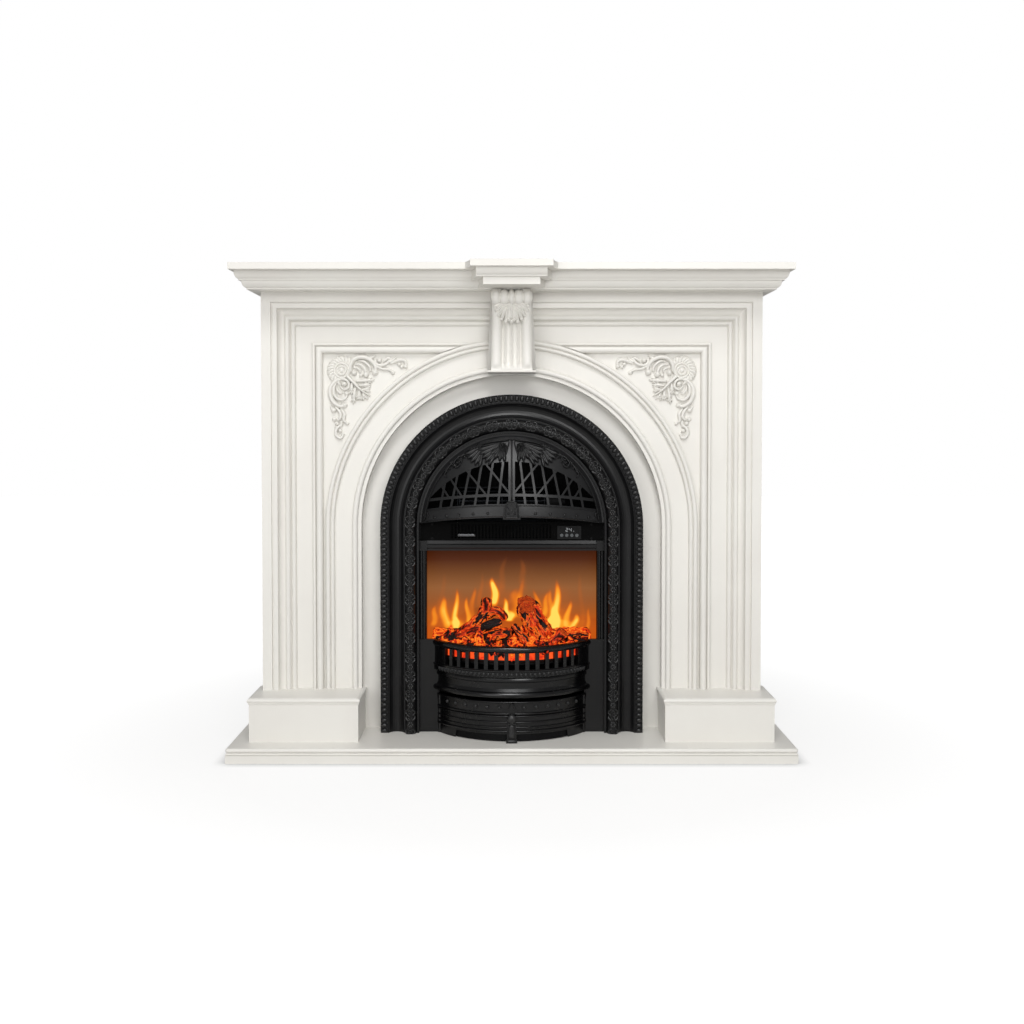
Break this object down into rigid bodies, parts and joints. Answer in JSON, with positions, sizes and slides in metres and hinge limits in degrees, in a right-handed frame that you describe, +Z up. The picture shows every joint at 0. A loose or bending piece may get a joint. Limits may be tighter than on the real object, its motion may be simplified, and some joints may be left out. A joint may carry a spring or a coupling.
{
  "type": "electric fireplace with mantel",
  "caption": "Electric fire with an arched cast insert, log effect, heater outlet, buttons and ash drawer, set in a painted mantel with a shelf, pilasters, keystone and hearth.",
  "frame": {"origin": "on the floor under the middle of the overall box", "axes": "+X to the right seen from the front, -Y towards the viewer in front of the fire, +Z up"},
  "size_m": [1.12, 0.39, 0.98],
  "materials": {
    "paint": "satin off-white paint on fibreboard",
    "iron": "matt black",
    "rail_wood": "bare softwood",
    "sheet": "black powder coat on steel sheet",
    "pan_steel": "plain steel sheet",
    "panel_plastic": "matt black moulding",
    "display_glass": "dark display window",
    "button_plastic": "grey satin",
    "board": "circuit board",
    "fins": "plain aluminium fins",
    "motor": "plain motor can",
    "embers": "translucent moulding lit from beneath",
    "bark": "painted resin",
    "lamp_board": "white lamp board",
    "screen": "translucent screen lit from behind",
    "mirror": "polished tinted plate",
    "flags": "bright reflecting flags",
    "gland": "black nylon"
  },
  "bodies": {
    "fireplace": {"hearth_slab": "paint", "hearth_base": "paint", "plinth_block_left": "paint", "plinth_block_right": "paint", "facade_board": "paint", "pilaster_left": "paint", "pilaster_right": "paint", "frieze_moulding": "paint", "spandrel_moulding_left": "paint", "spandrel_moulding_right": "paint", "arch_moulding_outer": "paint", "arch_moulding_inner": "paint", "corner_ornament_left": "paint", "corner_ornament_right": "paint", "keystone": "paint", "cornice_band": "paint", "cornice_ovolo": "paint", "shelf": "paint", "niche_panel": "paint", "side_board_left": "paint", "side_board_right": "paint", "rear_rail": "rail_wood", "cast_frame": "iron", "hood": "iron", "hood_boss": "iron", "hood_rivets": "iron", "cheek_left": "iron", "cheek_right": "iron", "fret": "iron", "fret_ledge": "iron", "lintel": "iron", "window_posts": "iron", "outlet_panel": "sheet", "outlet_screws": "sheet", "casing": "sheet", "casing_flange": "sheet", "casing_deck": "sheet", "bed_plate": "sheet", "control_panel": "panel_plastic", "display": "display_glass", "control_board": "board", "heater_element": "fins", "fan_housing": "pan_steel", "spindle_mounts": "pan_steel", "fan_motor": "motor", "ember_bed": "embers", "logs": "bark", "led_board": "lamp_board", "flame_screen": "screen", "side_mirrors": "mirror", "cable_gland": "gland"},
    "ash_drawer": {"ash_front": "iron", "ash_handle": "iron", "ash_pan": "sheet"},
    "fan_rotor": {"fan_rotor": "pan_steel"},
    "flame_spindle": {"flame_spindle": "flags"},
    "button_1": {"button_1": "button_plastic"},
    "button_2": {"button_2": "button_plastic"},
    "button_3": {"button_3": "button_plastic"},
    "button_4": {"button_4": "button_plastic"}
  },
  "joints": [
    {"name": "ash_drawer_slide", "type": "slide", "parent": "fireplace", "child": "ash_drawer", "axis": [0, -1, 0], "range_m": [0, 0.11]},
    {"name": "button_1_press", "type": "slide", "parent": "fireplace", "child": "button_1", "axis": [0, 1, 0], "range_m": [0, 0.001], "stiffness_N_per_m": 400, "springref_m": -0.002},
    {"name": "button_2_press", "type": "slide", "parent": "fireplace", "child": "button_2", "axis": [0, 1, 0], "range_m": [0, 0.001], "stiffness_N_per_m": 400, "springref_m": -0.002},
    {"name": "button_3_press", "type": "slide", "parent": "fireplace", "child": "button_3", "axis": [0, 1, 0], "range_m": [0, 0.001], "stiffness_N_per_m": 400, "springref_m": -0.002},
    {"name": "button_4_press", "type": "slide", "parent": "fireplace", "child": "button_4", "axis": [0, 1, 0], "range_m": [0, 0.001], "stiffness_N_per_m": 400, "springref_m": -0.002},
    {"name": "fan_spin", "type": "hinge", "parent": "fireplace", "child": "fan_rotor", "pos_m": [-0.02, 0.038, 0.5], "axis": [1, 0, 0], "continuous": true},
    {"name": "flame_spindle_spin", "type": "hinge", "parent": "fireplace", "child": "flame_spindle", "pos_m": [0, 0.062, 0.222], "axis": [1, 0, 0], "continuous": true}
  ]
}
